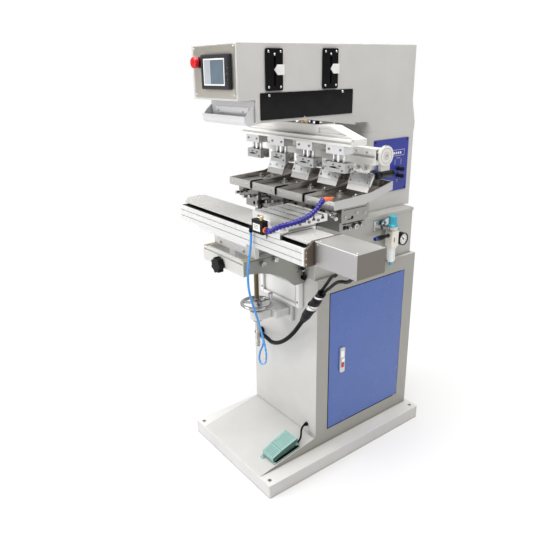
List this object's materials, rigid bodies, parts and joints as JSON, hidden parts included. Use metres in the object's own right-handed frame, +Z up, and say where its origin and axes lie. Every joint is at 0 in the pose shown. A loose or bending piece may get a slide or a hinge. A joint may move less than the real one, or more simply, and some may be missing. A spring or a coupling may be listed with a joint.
{
  "type": "pad printing machine",
  "caption": "Floor-standing pneumatic pad printer with open ink trays, sliding pad carriage, shuttle table on a lift bracket, side door and foot pedal",
  "frame": {"origin": "centre of the base plinth's underside, on the floor", "axes": "+X to the operator's right, -Y towards the operator, +Z up"},
  "size_m": [0.987, 0.898, 1.627],
  "materials": {
    "housing": "satin paint, warm light grey",
    "base_paint": "satin paint, grey",
    "door_blue": "gloss paint, blue",
    "plate_blue": "satin paint, deep blue",
    "frame_paint": "satin paint, grey beige",
    "panel_steel": "brushed, horizontal grain",
    "white_parts": "satin white",
    "aluminium": "machined",
    "chrome": "polished",
    "tray_steel": "brushed",
    "black_plastic": "matt black",
    "dark_acrylic": "gloss black",
    "screen": "gloss",
    "red_plastic": "gloss red",
    "grey_plastic": "matt light grey",
    "cyan_plastic": "cyan",
    "white_plastic": "white",
    "teal_plastic": "pale teal",
    "teal_dark": "dark teal",
    "tube_blue": "sky blue",
    "hose_violet": "violet blue",
    "cord_black": "matt black",
    "brass_mix": "steel with brass"
  },
  "bodies": {
    "frame": {"air_tube": "tube_blue", "base_plinth": "base_paint", "cabinet_shell": "housing", "conduit": "cord_black", "control_plate": "plate_blue", "deck_plate": "housing", "electrics_plate": "grey_plastic", "estop_base": "black_plastic", "frl_body": "white_plastic", "frl_bracket": "brass_mix", "front_glands": "black_plastic", "front_panel": "panel_steel", "head_housing": "housing", "ink_tray_1": "tray_steel", "ink_tray_2": "tray_steel", "ink_tray_3": "tray_steel", "ink_tray_4": "tray_steel", "mid_housing": "housing", "motor_cable_a": "cord_black", "motor_cable_b": "cord_black", "pedal_base": "teal_dark", "pedal_cord": "cord_black", "plug_connector": "black_plastic", "pressure_gauge": "black_plastic", "printing_plates": "tray_steel", "screw_bracket": "frame_paint", "side_window": "dark_acrylic", "stroke_scales": "black_plastic", "tool_tray": "white_parts", "touch_screen": "screen", "tray_bed": "aluminium", "tray_screws": "chrome", "upright_housing": "housing", "vertical_guide": "frame_paint"},
    "door": {"door": "door_blue", "latch_body": "door_blue"},
    "latch_lever": {"latch_lever": "chrome"},
    "latch_button": {"latch_button": "red_plastic"},
    "estop_button": {"estop_button": "red_plastic"},
    "pointer_front": {"pointer_front": "white_plastic"},
    "pointer_rear": {"pointer_rear": "white_plastic"},
    "regulator_knob": {"regulator_knob": "cyan_plastic"},
    "lift": {"lift_bracket": "frame_paint", "lead_screw": "chrome"},
    "lock_lever": {"lock_lever": "black_plastic"},
    "handwheel": {"handwheel": "chrome"},
    "star_knob": {"star_knob": "black_plastic"},
    "shuttle": {"table_bracket": "frame_paint", "shuttle_rail": "aluminium", "rail_cover": "white_parts", "motor_box": "grey_plastic", "valve_block": "aluminium", "blower_hose": "hose_violet"},
    "table": {"shuttle_table": "aluminium"},
    "carriage": {"pad_carriage": "aluminium"},
    "pads": {"pad_beam": "white_parts", "pad_holders": "white_parts"},
    "blades": {"blade_bar": "aluminium", "blade_holders": "aluminium"},
    "pedal_tread": {"pedal_tread": "teal_plastic"}
  },
  "joints": [
    {"name": "door_hinge", "type": "hinge", "parent": "frame", "child": "door", "pos_m": [0.202, 0.348, 0.427], "axis": [0, 0, 1], "range_deg": [0, 105]},
    {"name": "latch_lever_hinge", "type": "hinge", "parent": "door", "child": "latch_lever", "pos_m": [0.211, -0.006, 0.468], "axis": [0, -1, 0], "range_deg": [0, 60]},
    {"name": "latch_button_press", "type": "slide", "parent": "door", "child": "latch_button", "axis": [-1, 0, 0], "range_m": [0, 0.002], "stiffness_N_per_m": 600},
    {"name": "estop_press", "type": "slide", "parent": "frame", "child": "estop_button", "axis": [0, 1, 0], "range_m": [0, 0.004]},
    {"name": "front_pointer_slide", "type": "slide", "parent": "frame", "child": "pointer_front", "axis": [0, 0, 1], "range_m": [-0.032, 0.032]},
    {"name": "rear_pointer_slide", "type": "slide", "parent": "frame", "child": "pointer_rear", "axis": [0, 0, 1], "range_m": [-0.032, 0.032]},
    {"name": "regulator_turn", "type": "hinge", "parent": "frame", "child": "regulator_knob", "pos_m": [0.222, 0.241, 0.965], "axis": [0, 0, 1], "range_deg": [-720, 720]},
    {"name": "table_lift", "type": "slide", "parent": "frame", "child": "lift", "axis": [0, 0, 1], "range_m": [-0.06, 0.025], "deforming": ["air_tube", "motor_cable_a", "motor_cable_b"]},
    {"name": "handwheel_turn", "type": "hinge", "parent": "frame", "child": "handwheel", "pos_m": [0, -0.275, 0.68], "axis": [0, 0, 1], "range_deg": [-4330, 1810]},
    {"name": "lock_lever_turn", "type": "hinge", "parent": "lift", "child": "lock_lever", "pos_m": [0.134, -0.154, 0.799], "axis": [1, 0, 0], "range_deg": [-20, 60]},
    {"name": "cross_slide", "type": "slide", "parent": "lift", "child": "shuttle", "axis": [0, 1, 0], "range_m": [-0.02, 0]},
    {"name": "star_knob_turn", "type": "hinge", "parent": "lift", "child": "star_knob", "pos_m": [-0.014, -0.44, 0.872], "axis": [0, 1, 0], "range_deg": [-3610, 10]},
    {"name": "shuttle_slide", "type": "slide", "parent": "shuttle", "child": "table", "axis": [1, 0, 0], "range_m": [-0.48, 0]},
    {"name": "carriage_slide", "type": "slide", "parent": "frame", "child": "carriage", "axis": [0, 1, 0], "range_m": [-0.228, 0]},
    {"name": "pad_stroke", "type": "slide", "parent": "carriage", "child": "pads", "axis": [0, 0, 1], "range_m": [-0.07, 0]},
    {"name": "blade_lift", "type": "slide", "parent": "carriage", "child": "blades", "axis": [0, 0, 1], "range_m": [-0.012, 0.005]},
    {"name": "pedal_hinge", "type": "hinge", "parent": "frame", "child": "pedal_tread", "pos_m": [0.159, -0.34252, 0.08709], "axis": [-1, 0, 0], "range_deg": [0, 5], "stiffness_Nm_per_rad": 8}
  ],
  "couplings": [
    {"joint": "handwheel_turn", "follows": "table_lift", "rad_per_m": 1256.6},
    {"joint": "star_knob_turn", "follows": "cross_slide", "rad_per_m": 3141.6}
  ]
}
